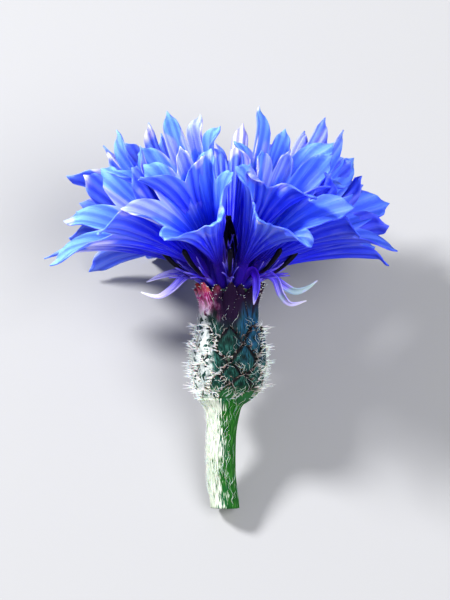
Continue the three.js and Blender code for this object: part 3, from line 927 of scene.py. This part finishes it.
def disc_florets_round():
    """Each disc floret's root, knee, mouth and the direction out from the flower's axis."""
    for i in range(MARGIN_FLORETS):
        azimuth = math.radians(RAY_FLORETS[i][0] + 180 / MARGIN_FLORETS)
        out, aim, _, _ = leaning(azimuth, MARGIN_POLAR)
        root = out * FLORET_ROOT[0] + Vector((0, 0, FLORET_ROOT[1]))
        knee = root + out * MARGIN_KNEE[0] + Vector((0, 0, MARGIN_KNEE[1]))
        mouth = Vector((0, 0, HEAD_CENTRE)) + aim * MARGIN_FOOT
        yield "ray_florets", "ray_floret", root, knee, mouth, out
    for i in range(CENTRE_FLORETS):
        turn = i / CENTRE_FLORETS * 2 * math.pi
        out = Vector((math.cos(turn), math.sin(turn), 0))
        root, knee, mouth = (out * radius + Vector((0, 0, height)) for radius, height in CENTRE_DISC)
        mouth.z -= i % 2 * CENTRE_STAGGER
        yield "disc_florets", "disc_floret", root, knee, mouth, out


disc_petal, _, disc_uv, wear_disc = finish("disc petal")
disc_up = disc_uv.parts()[1]
wear_disc(
    Base_Color=disc_up.ramp(
        (0.1, (0.05, 0.005, 0.3)), (0.6, (0.03, 0.015, 0.6)), (1.0, (0.22, 0.16, 0.95))
    ),
    Roughness=0.5,
    Subsurface_Weight=0.4,
    Subsurface_Radius=(0.4, 0.4, 1.0),
    Subsurface_Scale=0.0004,
)

disc_meshes = {}
for node, slot, root, knee, mouth, out in disc_florets_round():
    if node not in disc_meshes:
        disc_meshes[node] = (open_mesh(), slot)
    mesh = disc_meshes[node][0]
    aim = (mouth - knee).normalized()
    side = aim.cross(out).normalized()
    rise = side.cross(aim)
    thread(
        mesh,
        lambda share: curve((root, knee, mouth), share),
        lambda share: DISC_TUBE_RADIUS * (0.7 + 0.3 * share) * min(1, 8 * share, 8 * (1 - share)),
        8,
        9,
        side,
    )
    for k in range(DISC_LOBES):
        turn = k / DISC_LOBES * 2 * math.pi
        spread = side * math.cos(turn) + rise * math.sin(turn)
        level = rise * math.cos(turn) - side * math.sin(turn)
        bend = shake.uniform(0.7, 1.15)

        def on_disc_lobe(u, v):
            (r0, h0), (r1, h1) = DISC_LOBE_FOOT, DISC_LOBE_TIP
            radius = r0 + (r1 * bend - r0) * v**1.6
            height = h0 + (h1 - h0) * v
            half = DISC_LOBE_WIDTH * math.sin(math.pi * (0.15 + 0.85 * v)) ** 0.7 * (1 - 0.2 * v)
            swing = 2 * u - 1
            return mouth + spread * (radius - 0.12 * swing * swing) + aim * height + level * half * swing

        sheet(mesh, 4, 9, on_disc_lobe)
for node, (mesh, slot) in disc_meshes.items():
    name = "disc_petals_between_rays" if slot == "ray_floret" else "disc_petals_in_middle"
    petals = finished(mesh, name, node, slot, [disc_petal])
    wall = petals.modifiers.new("thickness", "SOLIDIFY")
    wall.thickness, wall.offset = DISC_PETAL_THICKNESS / 1000, 0

# ---------------------------------------------------------------- anther columns
# The dark column that stands out of each disc floret: five anthers grown into one curved tube
# with a blunt, slightly wider head. It is stiff, near black with a violet sheen.

ANTHER_LENGTH = 5.2
ANTHER_BOW = 1.5
ANTHER_RADIUS = 0.35

anther_skin, _, anther_uv, wear_anther = finish("anther skin")
anther_up = anther_uv.parts()[1]
wear_anther(
    Base_Color=anther_up.ramp(
        (0.1, (0.03, 0.004, 0.1)), (0.4, (0.002, 0.001, 0.008)), (1.0, (0.003, 0.002, 0.008))
    ),
    Roughness=0.45,
    Specular_IOR_Level=0.08,
)

anther_meshes = {}
for node, slot, root, knee, mouth, out in disc_florets_round():
    if node not in anther_meshes:
        anther_meshes[node] = (open_mesh(), slot)
    aim = (mouth - knee).normalized()
    side = aim.cross(out).normalized()
    rise = side.cross(aim)
    reach = ANTHER_LENGTH * shake.uniform(0.9, 1.02)

    def column(share):
        at = share * 1.12 - 0.12
        return mouth + aim * (reach * at) - rise * (ANTHER_BOW * at * abs(at))

    def column_radius(share):
        swell = 0.72 + 0.3 * clamp((share - 0.45) / 0.4)
        return ANTHER_RADIUS * swell * math.sqrt(clamp((1 - share) * 14)) * min(1, 10 * share)

    thread(anther_meshes[node][0], column, column_radius, 10, 24, side)
for node, (mesh, slot) in anther_meshes.items():
    name = "anthers_between_rays" if slot == "ray_floret" else "anthers_in_middle"
    finished(mesh, name, node, slot, [anther_skin])

# ---------------------------------------------------------------- floor, light and camera
# A plain pale surface, a soft key light from the view's upper left, a weak fill, and a camera
# that looks square on the flower's side from above, with the flower's axis upright in its view.

floor_finish, _, _, wear_floor = finish("floor paint")
wear_floor(Base_Color=(0.34, 0.34, 0.35), Roughness=0.9)
ground = bmesh.new()
bmesh.ops.create_grid(ground, x_segments=1, y_segments=1, size=2.5)
floor_data = bpy.data.meshes.new("floor")
ground.to_mesh(floor_data)
ground.free()
floor_data.materials.append(floor_finish)
floor = bpy.data.objects.new("floor", floor_data)
bpy.context.scene.collection.objects.link(floor)

VIEW_MIDDLE = Vector((-0.5, 0, 26.6))  # of the upright flower, in millimetres
CAMERA_DISTANCE = 0.32
laid_axes = LAY_DOWN.to_3x3().normalized()
RIGHT = laid_axes @ Vector((1, 0, 0))
FRONT = laid_axes @ Vector((0, -1, 0))
UP = laid_axes @ Vector((0, 0, 1))
middle = LAY_DOWN @ VIEW_MIDDLE


def looking(name, data, place):
    """Adds a camera or light there that looks at the middle of the flower."""
    thing = bpy.data.objects.new(name, data)
    bpy.context.scene.collection.objects.link(thing)
    back = (place - middle).normalized()
    across = UP.cross(back).normalized()
    turned = Matrix((across, back.cross(across), back)).transposed()
    thing.matrix_world = Matrix.Translation(place) @ turned.to_4x4()
    return thing


def soft_light(name, right, up, front, size, power):
    data = bpy.data.lights.new(name, "AREA")
    data.shape, data.size, data.energy = "DISK", size, power
    return looking(name, data, middle + RIGHT * right + UP * up + FRONT * front)


soft_light("key light", -0.45, 0.4, 0.26, 0.14, 9)
soft_light("fill light", 0.25, 0.05, 0.5, 0.4, 3.4)

camera = looking("camera", bpy.data.cameras.new("camera"), middle + FRONT * CAMERA_DISTANCE)
camera.data.lens = 150
camera.data.sensor_width = 36
camera.data.clip_start, camera.data.clip_end = 0.01, 10
bpy.context.scene.camera = camera

world = bpy.data.worlds.new("studio")
world.use_nodes = True
sky = world.node_tree.nodes["Background"].inputs
sky["Color"].default_value = (0.9, 0.94, 1.0, 1)
sky["Strength"].default_value = 0.32
bpy.context.scene.world = world
bpy.context.scene.view_settings.view_transform = "Standard"
